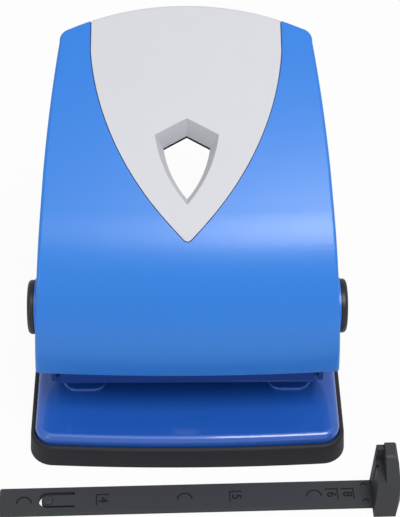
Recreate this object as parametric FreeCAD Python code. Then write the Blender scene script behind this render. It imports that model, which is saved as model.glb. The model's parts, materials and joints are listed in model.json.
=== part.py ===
import FreeCAD, Part

import math
import os

from FreeCAD import Placement, Rotation, Vector

# Two-hole lever punch, millimetres. The origin lies on the table, midway
# between the two punches. +Y runs from the paper mouth to the back of the base.

# Punching: standard pair of holes and their margin from the sheet's edge
hole_pitch = 80.0
punch_diameter = 5.5
margin_to_edge = 12.0
paper_gap = 4.2
tip_rest_rise = 1.1
running_clearance = 0.04
assembly_gap = 0.3
cut_overrun = 6.0
pick_tolerance = 0.1

# Handle travel about its axle
handle_travel = 30.0
press_radius = 16.5
pivot_height = 51.2
axle_diameter = 6.0
axle_chamfer = 0.5

# Base plate and tray
base_side_margin = 7.95
base_depth = 117.0
base_reach = 45.7
base_front_bow = 1.8
base_bow_run_share = 0.8
base_corner_radius = 8.5
tray_floor = 1.8
tray_rim_height = 8.7
tray_draft = 0.6
tray_rim_round = 1.3
tray_rib_width = 1.6
tray_rib_reach = 12.0
plate_inset = 2.3
plate_top = 12.5
plate_sheet = 1.2
plate_edge_round = 2.2
plate_corner_radius = 6.5
pad_width = 15.5
pad_offset = 36.4
pad_front = 21.2
pad_back = 9.5
pad_rise = 0.9
pad_corner_radius = 5.0
pad_edge_round = 0.7
die_outer_diameter = 10.0
die_depth = 4.5

# Folded steel frame
cheek_room = 7.6
frame_sheet = 1.6
frame_front = 23.3
frame_bend_radius = 3.0
frame_slot_width = 1.6
frame_flange_rise = 11.0
frame_throat_back = 1.8
ear_radius = 7.1
ear_length = 9.0
ear_front_round = 6.7
ear_back_round = 3.5
arm_height = 44.5
arm_knee_back = 18.0
arm_knee_drop = 2.0
heel_back = 45.0
heel_rise = 6.5
frame_back = 50.3
foot_width = 11.0
foot_front = 22.0
foot_back = 46.0
rivet_diameter = 3.4
rivet_head_diameter = 6.2
rivet_head_height = 1.5
rivet_tail_height = 1.0
rivet_tail_diameter = 4.8
rivet_inset = 4.6
rivet_head_chamfer = 0.8

# Upper guide plate that steers the punches
guide_plate_height = 40.0
guide_plate_front = 8.0
guide_plate_back = 10.0
guide_tab_width = 7.0

# Punch, collar, clip and return spring
groove_diameter = 4.0
clip_thickness = 0.8
clip_diameter = 8.6
clip_mouth_share = 0.8
collar_thickness = 1.0
collar_diameter = 11.0
collar_stop_gap = 0.3
punch_dome_height = 0.9
punch_notch_share = 0.17
spring_wire = 0.9
spring_mean_diameter = 8.0
spring_turns = 4
spring_arcs_per_turn = 2

# Handle shell, measured along the handle's slope from the axle
handle_slope = 23.0
shell_wall = 1.8
nose_radius = 48.0
nose_reach = 22.5
nose_top = 23.1
nose_start_angle = 15.0
nose_end_angle = 88.0
crown_radius = 600.0
crown_end_angle = 98.0
front_bow_radius = 795.0
side_draft = 2.0
crown_fall = 0.5
side_room = 3.45
front_station = 18.7
waist_turn_in = 2.5
waist_station = 40.8
hip_turn_in = 4.25
hip_station = 66.0
rear_turn_in = 6.85
rear_station = 91.5
rear_corner_in = 3.3
rear_corner_back = 5.0
rear_apex = 106.1
skirt_front_station = 4.5
skirt_front_drop = 19.5
skirt_mid_station = 14.9
skirt_mid_drop = 17.4
skirt_back_station = 32.7
skirt_back_drop = 8.7
skirt_rear_station = 112.0
skirt_rear_rise = 14.5
hollow_start_angle = 5.0
side_turn_in_share = 0.22
side_turn_back_share = 0.62
shell_edge_round = 1.2

# Grey shield inlay with its see-through window
inlay_thickness = 1.7
inlay_floor = 1.4
inlay_groove = 0.35
inlay_ledge = 1.6
shield_half = 33.2
shield_straight_station = 86.8
shield_mid_half = 20.3
shield_mid_station = 41.8
shield_tip_station = 14.1
shield_tip_round = 1.6
window_half = 10.6
window_shoulder_station = 53.3
window_apex_station = 59.5
window_tip_station = 27.9
window_mid_half = 7.3
window_mid_station = 40.5
window_centre_station = 46.0
window_depth = 5.8
window_inset = 2.6
window_wall = 1.3

# Black panel closing the underside of the handle
panel_thickness = 1.4
panel_front_station = 29.0
panel_gap = 0.1

# Steel lever carrier inside the handle
carrier_sheet = 1.6
carrier_gap = 1.3
carrier_ear_radius = 7.0
press_ear_radius = 4.6
web_station = 17.6
web_length = 15.0
web_drop = 4.6
boss_diameter = 7.0
screw_diameter = 3.0
screw_head_diameter = 5.6
screw_head_height = 1.9
screw_length = 6.0
screw_drive_width = 0.75
screw_drive_depth = 0.95
screw_rows = (12.0, 32.0)
press_bar_diameter = 6.0
press_bar_end_gap = 0.3
bar_clip_thickness = 0.7
bar_clip_diameter = 9.0
bar_groove_diameter = 4.6
washer_diameter = 13.0
pin_top_gap = 0.15

# Pivot caps outside the handle
cap_diameter = 18.5
cap_thickness = 2.1
cap_stand_out = 2.95
cap_rim_round = 1.3
cap_dish_depth = 0.4
cap_dish_diameter = 12.0
cap_socket_depth = 1.1
boss_ring_diameter = 19.5

# Sliding paper guide, drawn out and laid in front of the base
bar_length = 127.7
bar_width = 10.4
bar_thickness = 2.2
bar_end_round = 0.8
head_length = 10.0
head_width = 14.7
head_height = 21.0
head_front_ledge = 3.7
head_taper = 2.6
head_top_back = 6.4
head_shoulder_drop = 5.5
head_left_lean = 0.9
head_right_lean = 2.6
head_corner_cut = 2.5
head_corner_run = 7.0
head_round = 0.8
head_crest_round = 1.6
knob_width = 4.0
knob_rise = 1.6
knob_round = 2.2
fin_thickness = 2.2
stop_groove_width = 1.3
stop_groove_depth = 0.7
stop_groove_low = 8.0
stop_groove_front = 4.2
tongue_start = 13.4
tongue_length = 12.3
tongue_width = 4.4
tongue_slot = 1.0
tongue_forward = 0.25
detent_diameter = 3.4
detent_rise = 0.6
detent_round_share = 0.8
guide_turn = 1.29
guide_left_end = -64.6
guide_centre_ahead = 61.3
guide_slot_gap = 0.4
guide_slot_centre = 27.5
guide_slot_floor = 3.0
guide_slot_height = 4.3

# Places that follow from the sizes above
half_travel = math.radians(handle_travel / 2)
pivot_y = -press_radius * (1 + math.cos(half_travel)) / 2
pivot = Vector(0, pivot_y, pivot_height)
press_y = pivot_y + press_radius * math.cos(half_travel)
press_z = pivot_height + press_radius * math.sin(half_travel)
pad_top = plate_top + pad_rise
frame_under = pad_top + paper_gap
frame_floor_top = frame_under + frame_sheet
punch_tip_z = frame_under + tip_rest_rise
punch_top_z = press_z - press_bar_diameter / 2 - pin_top_gap
frame_half_width = hole_pitch / 2 + cheek_room
frame_inner = frame_half_width - frame_sheet
base_width = 2 * (frame_half_width + base_side_margin)
front_half = frame_half_width + side_room
waist_half = front_half - waist_turn_in
hip_half = front_half - hip_turn_in
rear_half = front_half - rear_turn_in
carrier_half_width = frame_inner - carrier_gap
cap_face = front_half + cap_stand_out
nose_centre_ahead = nose_radius - nose_reach
nose_centre_drop = nose_radius - nose_top
crown_level = nose_top - crown_fall
base_front = -base_reach
base_back = base_depth - base_reach
clip_top_z = guide_plate_height - collar_stop_gap
collar_top_z = clip_top_z - clip_thickness
collar_under_z = collar_top_z - collar_thickness
cap_inner = cap_face - cap_thickness
boss_face = cap_inner - assembly_gap
slope = math.radians(handle_slope)
across_x = Rotation(Vector(1, 1, 1), math.degrees(2 * math.pi / 3))


def save(name, shape):
    """Write one node's STEP file."""
    shape.exportStep("parts/" + name + ".step")
    print(name, "solids", len(shape.Solids), "volume %.1f" % shape.Volume, shape.isValid())


def wire_of(edges):
    return Part.Wire(Part.__sortEdges__(edges))


def arc(start, middle, end):
    return Part.Arc(start, middle, end).toShape()


def line(start, end):
    return Part.LineSegment(start, end).toShape()


def rounded_polygon(corners):
    """Closed wire in the XY plane from (x, y, radius) corners."""
    count = len(corners)
    entries = []
    for index in range(count):
        x, y, radius = corners[index]
        here = Vector(x, y, 0)
        before = Vector(corners[index - 1][0], corners[index - 1][1], 0)
        after = Vector(corners[(index + 1) % count][0], corners[(index + 1) % count][1], 0)
        to_before = (before - here).normalize()
        to_after = (after - here).normalize()
        if radius <= 0:
            entries.append((here, None, here))
            continue
        half = to_before.getAngle(to_after) / 2
        run = radius / math.tan(half)
        bisector = (to_before + to_after).normalize()
        middle = here + bisector * (radius / math.sin(half) - radius)
        entries.append((here + to_before * run, middle, here + to_after * run))
    edges = []
    for index in range(count):
        start, middle, end = entries[index]
        if middle is not None:
            edges.append(arc(start, middle, end))
        edges.append(line(end, entries[(index + 1) % count][0]))
    return Part.Wire(edges)


def side_plate(corners, x_low, thickness):
    """Sheet with its outline given in (y, z), standing across X."""
    face = Part.Face(rounded_polygon(corners))
    plate = face.extrude(Vector(0, 0, thickness))
    plate.Placement = Placement(Vector(x_low, 0, 0), across_x)
    return plate


def mirrored(shape):
    """Copy of a shape on the other side of the middle plane."""
    return shape.mirror(Vector(0, 0, 0), Vector(1, 0, 0))


def both_sides(shape):
    return [shape, mirrored(shape)]


def block(x_low, x_high, y_low, y_high, z_low, z_high):
    return Part.makeBox(x_high - x_low, y_high - y_low, z_high - z_low, Vector(x_low, y_low, z_low))


def disc_z(x, y, z_low, z_high, diameter):
    return Part.makeCylinder(diameter / 2, z_high - z_low, Vector(x, y, z_low))


def rod_x(y, z, x_low, x_high, diameter):
    return Part.makeCylinder(diameter / 2, x_high - x_low, Vector(x_low, y, z), Vector(1, 0, 0))


def edges_where(shape, test):
    return [edge for edge in shape.Edges if test(edge)]


def to_handle(shape):
    """Carry a shape from the handle's own slope frame to its place on the axle."""
    placed = shape.copy()
    placed.Placement = Placement(pivot, Rotation(Vector(1, 0, 0), handle_slope)).multiply(placed.Placement)
    return placed


def handle_point(station, level):
    """Point of the middle plane from its station along the slope and level above the axle."""
    y = pivot_y + station * math.cos(slope) - level * math.sin(slope)
    z = pivot_height + station * math.sin(slope) + level * math.cos(slope)
    return Vector(0, y, z)


def nose_point(angle, offset):
    turn = math.radians(angle)
    reach = nose_radius - offset
    return handle_point(nose_centre_ahead - reach * math.cos(turn), reach * math.sin(turn) - nose_centre_drop)


def crown_point(angle, offset):
    join = math.radians(nose_end_angle)
    turn = math.radians(angle)
    centre_station = nose_centre_ahead + (crown_radius - nose_radius) * math.cos(join)
    centre_level = -nose_centre_drop - (crown_radius - nose_radius) * math.sin(join)
    reach = crown_radius - offset
    return handle_point(centre_station - reach * math.cos(turn), centre_level + reach * math.sin(turn))


def crown_line(offset, start_angle):
    """Nose arc and crown arc of the handle, set inwards by an offset."""
    nose_middle = (start_angle + nose_end_angle) / 2
    crown_middle = (nose_end_angle + crown_end_angle) / 2
    join = nose_point(nose_end_angle, offset)
    nose = arc(nose_point(start_angle, offset), nose_point(nose_middle, offset), join)
    crown = arc(join, crown_point(crown_middle, offset), crown_point(crown_end_angle, offset))
    return nose, crown


def bowed(profile_edges):
    """Solid swept from a middle-plane profile round a far upright axis."""
    face = Part.Face(wire_of(profile_edges))
    front = nose_point(nose_start_angle, 0)
    axis_point = Vector(0, front.y + front_bow_radius, 0)
    half_angle = math.degrees(math.asin((front_half + cut_overrun) / (front_bow_radius - rear_apex)))
    face.rotate(axis_point, Vector(0, 0, 1), -half_angle)
    return face.revolve(axis_point, Vector(0, 0, 1), 2 * half_angle)


def crown_band(outer_offset, inner_offset):
    """Curved layer that follows the handle's top between two offsets."""
    start = nose_start_angle
    outer_nose, outer_crown = crown_line(outer_offset, start)
    inner_nose, inner_crown = crown_line(inner_offset, start)
    front = line(nose_point(start, outer_offset), nose_point(start, inner_offset))
    back = line(crown_point(crown_end_angle, outer_offset), crown_point(crown_end_angle, inner_offset))
    return bowed([outer_nose, outer_crown, inner_nose, inner_crown, front, back])


def plan_outline(grow, level):
    """Plan outline of the handle at a level, grown outwards by a distance."""
    spread = (front_half - waist_half) / (front_station + waist_station)
    front_x = front_half + spread * nose_radius + grow
    front_y = -front_station - nose_radius
    corner_y = rear_station + rear_corner_back
    lean = math.sqrt(1 / 2)

    def half(sign):
        front = Vector(sign * front_x, front_y, level)
        waist = Vector(sign * (waist_half + grow), waist_station, level)
        hip = Vector(sign * (hip_half + grow), hip_station, level)
        rear = Vector(sign * (rear_half + grow), rear_station, level)
        turn_x = rear_half - side_turn_in_share * rear_corner_in + lean * grow
        turn_y = rear_station + side_turn_back_share * rear_corner_back + lean * grow
        turn = Vector(sign * turn_x, turn_y, level)
        corner = Vector(sign * (rear_half - rear_corner_in + grow / 2), corner_y + grow, level)
        return front, waist, hip, rear, turn, corner

    right = half(1)
    left = half(-1)
    apex = Vector(0, rear_apex + grow, level)
    edges = [line(left[0], right[0]), line(right[0], right[1]), arc(right[1], right[2], right[3])]
    edges += [arc(right[3], right[4], right[5]), arc(right[5], apex, left[5])]
    edges += [arc(left[5], left[4], left[3]), arc(left[3], left[2], left[1]), line(left[1], left[0])]
    return Part.Wire(edges)


def plan_prism(grow):
    """Drafted column of the handle's plan outline."""
    low = -nose_radius - cut_overrun
    high = crown_level + cut_overrun
    draft = math.tan(math.radians(side_draft))
    wires = [plan_outline(grow + draft * (crown_level - level), level) for level in (low, high)]
    return to_handle(Part.makeLoft(wires, True, True))


def shield_wire(grow, level):
    """Shield outline of the inlay, running out past the handle's rear edge."""
    rear_y = rear_apex + cut_overrun
    tip_drop = grow * math.sqrt(2)
    right_rear = Vector(shield_half + grow, rear_y, level)
    right_straight = Vector(shield_half + grow, shield_straight_station, level)
    right_mid = Vector(shield_mid_half + grow, shield_mid_station, level)
    tip = Vector(0, shield_tip_station - tip_drop, level)
    left_mid = Vector(-right_mid.x, right_mid.y, level)
    left_straight = Vector(-right_straight.x, right_straight.y, level)
    left_rear = Vector(-right_rear.x, rear_y, level)
    edges = [line(left_rear, right_rear), line(right_rear, right_straight)]
    edges += [arc(right_straight, right_mid, tip), arc(tip, left_mid, left_straight)]
    edges.append(line(left_straight, left_rear))
    return Part.Wire(edges)


def shield_prism(grow):
    low = -cut_overrun
    wire = shield_wire(grow, low)
    prism = Part.Face(wire).extrude(Vector(0, 0, crown_level + cut_overrun - low))
    tip_edges = edges_where(prism, lambda edge: tip_edge(edge, grow))
    return to_handle(prism.makeFillet(shield_tip_round + grow, tip_edges))


def tip_edge(edge, grow):
    ends = [vertex.Point for vertex in edge.Vertexes]
    tip_y = shield_tip_station - grow * math.sqrt(2)
    near = all(abs(end.x) < pick_tolerance and abs(end.y - tip_y) < pick_tolerance for end in ends)
    return near and len(ends) > 1


def kite_wire(share, level):
    """Kite outline of the window, scaled about its middle."""

    def spot(x, station):
        return Vector(x * share, window_centre_station + (station - window_centre_station) * share, level)

    apex = spot(0, window_apex_station)
    tip = spot(0, window_tip_station)
    right = spot(window_half, window_shoulder_station)
    left = spot(-window_half, window_shoulder_station)
    right_mid = spot(window_mid_half, window_mid_station)
    left_mid = spot(-window_mid_half, window_mid_station)
    edges = [line(apex, right), arc(right, right_mid, tip), arc(tip, left_mid, left), line(left, apex)]
    return Part.Wire(edges)


def kite_share(level, wall):
    """Scale of the kite at a level, with a wall added round it."""
    inset = window_inset * (crown_level - level) / window_depth
    return (window_half - inset + wall) / window_half


def kite_cone(high, low, wall):
    wires = [kite_wire(kite_share(low, wall), low), kite_wire(kite_share(high, wall), high)]
    return to_handle(Part.makeLoft(wires, True, True))


def kite_prism(share, low, high):
    return to_handle(Part.Face(kite_wire(share, low)).extrude(Vector(0, 0, high - low)))


def base_outline(inset, corner_radius, level):
    """Plan outline of the base with its gently bowed front."""
    half = base_width / 2 - inset
    back = base_back - inset
    fall = base_front_bow / (1 - base_bow_run_share / 2)
    side_front = base_front + inset + base_front_bow
    bow_radius = base_bow_run_share * half * half / fall
    corners = [
        (-half, side_front, corner_radius),
        (0, side_front - fall, bow_radius),
        (half, side_front, corner_radius),
        (half, back, corner_radius),
        (-half, back, corner_radius),
    ]
    wire = rounded_polygon(corners)
    wire.translate(Vector(0, 0, level))
    return wire


def base_slab(inset, corner_radius, low, high):
    return Part.Face(base_outline(inset, corner_radius, low)).extrude(Vector(0, 0, high - low))


def top_edges(shape, level):

    def at_level(edge):
        return all(abs(vertex.Point.z - level) < pick_tolerance for vertex in edge.Vertexes)

    return edges_where(shape, at_level)


def pad_prism(grow, low, high):
    """Oval die pad of the right-hand punch."""
    left = pad_offset - pad_width / 2 - grow
    right = pad_offset + pad_width / 2 + grow
    radius = pad_corner_radius + grow
    front = -pad_front - grow
    back = pad_back + grow
    corners = [(left, front, radius), (right, front, radius), (right, back, radius), (left, back, radius)]
    face = Part.Face(rounded_polygon(corners))
    face.translate(Vector(0, 0, low))
    return face.extrude(Vector(0, 0, high - low))


def guide_slot(x_low, x_high):
    """Passage of the paper guide through the side of the base."""
    half = bar_width / 2 + guide_slot_gap
    top = guide_slot_floor + guide_slot_height
    front = -guide_slot_centre - half
    return block(x_low, x_high, front, front + 2 * half, guide_slot_floor, top)


def make_base_plate():
    corner = plate_corner_radius
    skirt_low = tray_floor + assembly_gap
    outer = base_slab(plate_inset, corner, skirt_low, plate_top)
    outer = outer.makeFillet(plate_edge_round, top_edges(outer, plate_top))
    ceiling = plate_top - plate_sheet
    inner = base_slab(plate_inset + plate_sheet, corner - plate_sheet, -cut_overrun, ceiling)
    inner = inner.makeFillet(plate_edge_round - plate_sheet, top_edges(inner, ceiling))
    plate = outer.cut(inner)
    for side in (1, -1):
        pad = pad_prism(0, ceiling, pad_top)
        pad = pad.makeFillet(pad_edge_round, top_edges(pad, pad_top))
        hollow = pad_prism(-plate_sheet, ceiling - cut_overrun, pad_top - plate_sheet)
        seat = disc_z(hole_pitch / 2, 0, 0, pad_top + cut_overrun, die_outer_diameter)
        if side < 0:
            pad, hollow, seat = mirrored(pad), mirrored(hollow), mirrored(seat)
        plate = plate.fuse(pad).cut(hollow).cut(seat)
    for x, y in rivet_places():
        plate = plate.cut(disc_z(x, y, 0, plate_top + cut_overrun, rivet_diameter))
    slot = guide_slot(-base_width, base_width)
    return plate.cut(slot).removeSplitter()


def make_chip_tray():
    """Open tray whose rim stands proud round the plate's edge."""
    corner = base_corner_radius
    wires = [base_outline(0, corner, 0), base_outline(tray_draft, corner, tray_rim_height)]
    outer = Part.makeLoft(wires, True, True)
    outer = outer.makeFillet(tray_rim_round, top_edges(outer, tray_rim_height))
    inner_inset = plate_inset - assembly_gap
    cavity_corner = plate_corner_radius + assembly_gap
    cavity = base_slab(inner_inset, cavity_corner, tray_floor, tray_rim_height + cut_overrun)
    tray = outer.cut(cavity)
    rib_inner = base_width / 2 - plate_inset - plate_sheet - assembly_gap
    rib_top = guide_slot_floor + bar_thickness
    channel = bar_width / 2 + guide_slot_gap
    for y in (-guide_slot_centre - channel - tray_rib_width, -guide_slot_centre + channel, base_back / 2):
        rib = block(rib_inner - tray_rib_reach, rib_inner, y, y + tray_rib_width, tray_floor, rib_top)
        for piece in both_sides(rib):
            tray = tray.fuse(piece)
    return tray.cut(guide_slot(-base_width, base_width)).removeSplitter()


def rivet_places():
    x = frame_half_width - foot_width / 2 - frame_sheet / 2
    places = []
    for y in (foot_front + rivet_inset, foot_back - rivet_inset):
        places += [(x, y), (-x, y)]
    return places


def make_frame_rivets():
    rivets = []
    head_low = plate_top + frame_sheet
    plate_under = plate_top - plate_sheet
    for x, y in rivet_places():
        shank = disc_z(x, y, plate_under, head_low, rivet_diameter)
        tail = disc_z(x, y, plate_under - rivet_tail_height, plate_under, rivet_tail_diameter)
        head = disc_z(x, y, head_low, head_low + rivet_head_height, rivet_head_diameter)
        rim = top_edges(head, head_low + rivet_head_height)
        head = head.makeChamfer(rivet_head_chamfer, rim)
        rivets.append(head.fuse([shank, tail]).removeSplitter())
    return Part.makeCompound(rivets)


def make_die_bushings():
    bushings = []
    bore = punch_diameter + 2 * running_clearance
    for x in (hole_pitch / 2, -hole_pitch / 2):
        ring = disc_z(x, 0, pad_top - die_depth, pad_top, die_outer_diameter)
        bushings.append(ring.cut(disc_z(x, 0, 0, pad_top + cut_overrun, bore)))
    return Part.makeCompound(bushings)


def frame_side():
    """Right-hand cheek of the frame: ear, open throat and rear heel."""
    bend_top = frame_under + frame_bend_radius
    ear_top = pivot_height + ear_radius
    ear_back = pivot_y + ear_length
    throat = margin_to_edge + frame_sheet
    corners = [
        (-frame_front, bend_top, 0),
        (-frame_front, ear_top, ear_front_round),
        (ear_back, ear_top, ear_back_round),
        (0, arm_height, ear_back_round),
        (arm_knee_back, arm_height - arm_knee_drop, ear_radius),
        (heel_back, plate_top + heel_rise, ear_radius),
        (frame_back, plate_top + frame_sheet, frame_sheet),
        (frame_back, plate_top, 0),
        (throat + frame_throat_back, plate_top, 0),
        (throat + frame_throat_back, bend_top, 0),
    ]
    return side_plate(corners, frame_inner, frame_sheet)


def frame_foot():
    """Foot turned inwards from the cheek and riveted to the plate."""
    inner = frame_half_width - foot_width
    foot = block(inner, frame_half_width, foot_front, foot_back, plate_top, plate_top + frame_sheet)
    return foot.makeFillet(frame_bend_radius, edges_where(foot, foot_corner))


def foot_corner(edge):
    ends = [vertex.Point for vertex in edge.Vertexes]
    inner = frame_half_width - foot_width
    upright = abs(ends[0].z - ends[-1].z) > pick_tolerance
    return upright and all(abs(end.x - inner) < pick_tolerance for end in ends)


def folded_floor():
    """Lower guide plate with its rounded folds up to the two cheeks."""
    front = -frame_front + frame_bend_radius
    back = margin_to_edge + frame_sheet
    half = frame_half_width
    outer = block(-half, half, front, back, frame_under, frame_under + frame_bend_radius)
    rim = edges_where(outer, lambda e: fold_edge(e, frame_half_width, frame_under))
    outer = outer.makeFillet(frame_bend_radius - pick_tolerance, rim)
    top = frame_under + frame_bend_radius + cut_overrun
    inner = block(-frame_inner, frame_inner, -frame_front, back + frame_sheet, frame_floor_top, top)
    rim = edges_where(inner, lambda e: fold_edge(e, frame_inner, frame_floor_top))
    inner = inner.makeFillet(frame_bend_radius - frame_sheet, rim)
    return outer.cut(inner)


def fold_edge(edge, half, level):
    ends = [vertex.Point for vertex in edge.Vertexes]
    along_y = abs(ends[0].y - ends[-1].y) > pick_tolerance
    return along_y and all(math.hypot(abs(end.x) - half, end.z - level) < pick_tolerance for end in ends)


def front_flange():
    """Strip folded up in front, between the two relief slots."""
    radius = frame_bend_radius
    inner = radius - frame_sheet
    top = frame_under + frame_flange_rise
    front = -frame_front
    corners = [
        (front, frame_under, radius),
        (front + radius + frame_sheet, frame_under, 0),
        (front + radius + frame_sheet, frame_floor_top, 0),
        (front + frame_sheet, frame_floor_top, inner),
        (front + frame_sheet, top, 0),
        (front, top, 0),
    ]
    half = frame_inner - frame_slot_width
    return side_plate(corners, -half, 2 * half)


def paper_stop():
    """Strip folded down at the back, where the sheet's edge stops."""
    half = frame_inner - frame_slot_width
    front = margin_to_edge
    corners = [
        (front - frame_sheet, frame_under, 0),
        (front, frame_under, 0),
        (front, plate_top, 0),
        (front + frame_sheet, plate_top, 0),
        (front + frame_sheet, frame_floor_top, frame_sheet),
        (front - frame_sheet, frame_floor_top, 0),
    ]
    return side_plate(corners, -half, 2 * half)


def make_punch_frame():
    floor = folded_floor()
    for x in (hole_pitch / 2, -hole_pitch / 2):
        floor = floor.cut(disc_z(x, 0, 0, guide_plate_height, punch_diameter + 2 * running_clearance))
    slot_front = -frame_front - cut_overrun
    slot_back = -frame_front + frame_bend_radius + frame_sheet
    slot = block(frame_inner - frame_slot_width, frame_inner, slot_front, slot_back, 0, guide_plate_height)
    pieces = both_sides(frame_side().fuse(frame_foot())) + [front_flange(), paper_stop()]
    for piece in both_sides(slot):
        floor = floor.cut(piece)
    frame = floor.fuse(pieces).removeSplitter()
    axle_hole = rod_x(pivot_y, pivot_height, -base_width, base_width, axle_diameter + 2 * running_clearance)
    tab_half = guide_tab_width / 2 + running_clearance
    tab_low = guide_plate_height - running_clearance
    tab_high = guide_plate_height + frame_sheet + running_clearance
    tab = block(-base_width, base_width, -tab_half, tab_half, tab_low, tab_high)
    frame = frame.cut(axle_hole).cut(tab)
    for x, y in rivet_places():
        frame = frame.cut(disc_z(x, y, 0, frame_floor_top, rivet_diameter))
    return frame


def make_upper_guide_plate():
    low = guide_plate_height
    high = low + frame_sheet
    half = frame_inner - running_clearance
    plate = block(-half, half, -guide_plate_front, guide_plate_back, low, high)
    tabs = block(-frame_half_width, frame_half_width, -guide_tab_width / 2, guide_tab_width / 2, low, high)
    plate = plate.fuse(tabs).removeSplitter()
    for x in (hole_pitch / 2, -hole_pitch / 2):
        plate = plate.cut(disc_z(x, 0, 0, high + cut_overrun, punch_diameter + 2 * running_clearance))
    return plate


def make_punch(x):
    """Punch with its notched cutting end, clip groove and domed head."""
    body = disc_z(x, 0, punch_tip_z, punch_top_z, punch_diameter)
    body = body.makeFillet(punch_dome_height, top_edges(body, punch_top_z))
    groove = disc_z(x, 0, collar_top_z, clip_top_z, punch_diameter + cut_overrun)
    groove = groove.cut(disc_z(x, 0, collar_top_z, clip_top_z, groove_diameter))
    notch_level = punch_tip_z + (punch_notch_share - 1) * punch_diameter
    notch = rod_x(0, notch_level, x - punch_diameter, x + punch_diameter, 2 * punch_diameter)
    return body.cut(groove).cut(notch)


def make_collar(x):
    ring = disc_z(x, 0, collar_under_z, collar_top_z, collar_diameter)
    return ring.cut(disc_z(x, 0, 0, guide_plate_height, punch_diameter + 2 * running_clearance))


def clip_ring(outer, inner, thickness):
    """Open retaining ring lying in the XY plane."""
    ring = Part.makeCylinder(outer / 2, thickness).cut(Part.makeCylinder(inner / 2, thickness))
    half_mouth = inner / 2 * clip_mouth_share
    mouth = block(-half_mouth, half_mouth, 0, outer, 0, thickness)
    return ring.cut(mouth)


def make_punch_clip(x):
    play = 2 * running_clearance
    ring = clip_ring(clip_diameter, groove_diameter + play, clip_thickness - play)
    ring.translate(Vector(x, 0, collar_top_z + running_clearance))
    return ring


def helix_point(radius, pitch, turn):
    angle = 2 * math.pi * turn
    return Vector(radius * math.cos(angle), radius * math.sin(angle), pitch * turn)


def helix_heading(radius, pitch, turn):
    angle = 2 * math.pi * turn
    climb = pitch / (2 * math.pi)
    return Vector(-radius * math.sin(angle), radius * math.cos(angle), climb).normalize()


def tangent_arc(start, heading, end):
    """Arc from a point along its heading to an end point."""
    chord = end - start
    cosine = heading.dot(chord) / chord.Length
    corner = start + heading * (chord.Length / (2 * cosine))
    middle = (start + end) / 2
    return arc(start, middle + (corner - middle) * (cosine / (1 + cosine)), end)


def biarc(start, start_heading, end, end_heading):
    """Two arcs that meet smoothly between two points with given headings."""
    span = end - start
    along = span.dot(start_heading + end_heading)
    spread = 2 * (1 - start_heading.dot(end_heading))
    reach = (math.sqrt(along * along + spread * span.dot(span)) - along) / spread
    joint = (start + end + (start_heading - end_heading) * reach) / 2
    return [tangent_arc(start, start_heading, joint), tangent_arc(end, end_heading * -1, joint)]


def make_return_spring(x):
    """Compression spring round the punch, from the frame's floor to the collar."""
    radius = spring_mean_diameter / 2
    low = frame_floor_top + spring_wire / 2 + running_clearance
    high = collar_under_z - spring_wire / 2 - running_clearance
    pitch = (high - low) / spring_turns
    edges = []
    for index in range(spring_turns * spring_arcs_per_turn):
        turns = (index / spring_arcs_per_turn, (index + 1) / spring_arcs_per_turn)
        points = [helix_point(radius, pitch, turn) for turn in turns]
        headings = [helix_heading(radius, pitch, turn) for turn in turns]
        edges += biarc(points[0], headings[0], points[1], headings[1])
    start = Part.Circle(helix_point(radius, pitch, 0), helix_heading(radius, pitch, 0), spring_wire / 2)
    spring = wire_of(edges).makePipeShell([Part.Wire([start.toShape()])], True, False)
    spring.translate(Vector(x, 0, low))
    return spring


def make_pivot_axle():
    end = cap_inner + cap_socket_depth - running_clearance
    axle = rod_x(pivot_y, pivot_height, -end, end, axle_diameter)
    rims = edges_where(axle, lambda e: len(e.Vertexes) == 1)
    return axle.makeChamfer(axle_chamfer, rims)


def make_pivot_cap():
    """Round cap pressed on the right-hand end of the axle."""
    cap = rod_x(pivot_y, pivot_height, cap_inner, cap_face, cap_diameter)
    cap = cap.makeFillet(cap_rim_round, edges_where(cap, on_cap_face))
    dish_floor = cap_face - cap_dish_depth
    dish = rod_x(pivot_y, pivot_height, dish_floor, cap_face + cut_overrun, cap_dish_diameter)
    socket_end = cap_inner + cap_socket_depth
    socket_bore = axle_diameter + 2 * running_clearance
    socket = rod_x(pivot_y, pivot_height, cap_inner - cut_overrun, socket_end, socket_bore)
    return cap.cut(dish).cut(socket)


def on_cap_face(edge):
    whole_circle = len(edge.Vertexes) == 1
    return whole_circle and abs(edge.Vertexes[0].Point.x - cap_face) < pick_tolerance


def make_axle_washers():
    low = carrier_half_width + running_clearance
    high = frame_inner - running_clearance
    ring = rod_x(pivot_y, pivot_height, low, high, washer_diameter)
    ring = ring.cut(rod_x(pivot_y, pivot_height, 0, base_width, axle_diameter + 2 * running_clearance))
    return Part.makeCompound(both_sides(ring))


def web_frame():
    """Place of the carrier's web under the nose, as a placement with Z outwards."""
    inset = shell_wall + web_drop
    web_angle = math.degrees(math.acos((nose_centre_ahead - web_station) / (nose_radius - inset)))
    centre = nose_point(web_angle, inset)
    lean = 90.0 - web_angle + handle_slope
    return Placement(centre, Rotation(Vector(1, 0, 0), lean))


def hull_of_two(first, first_radius, second, second_radius, thickness):
    """Plate round two circles and their outer tangents, in the XY plane."""
    span = second - first
    heading = math.atan2(span.y, span.x)
    spread = math.acos((first_radius - second_radius) / span.Length)
    points = []
    ends = ((first, first_radius, spread), (second, second_radius, spread))
    ends += ((second, second_radius, -spread), (first, first_radius, -spread))
    for centre, radius, turn in ends:
        angle = heading + turn
        points.append(centre + Vector(math.cos(angle), math.sin(angle), 0) * radius)
    quad = Part.Face(Part.makePolygon(points + [points[0]])).extrude(Vector(0, 0, thickness))
    first_disc = Part.makeCylinder(first_radius, thickness, first)
    second_disc = Part.makeCylinder(second_radius, thickness, second)
    return quad.fuse([first_disc, second_disc])


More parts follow.
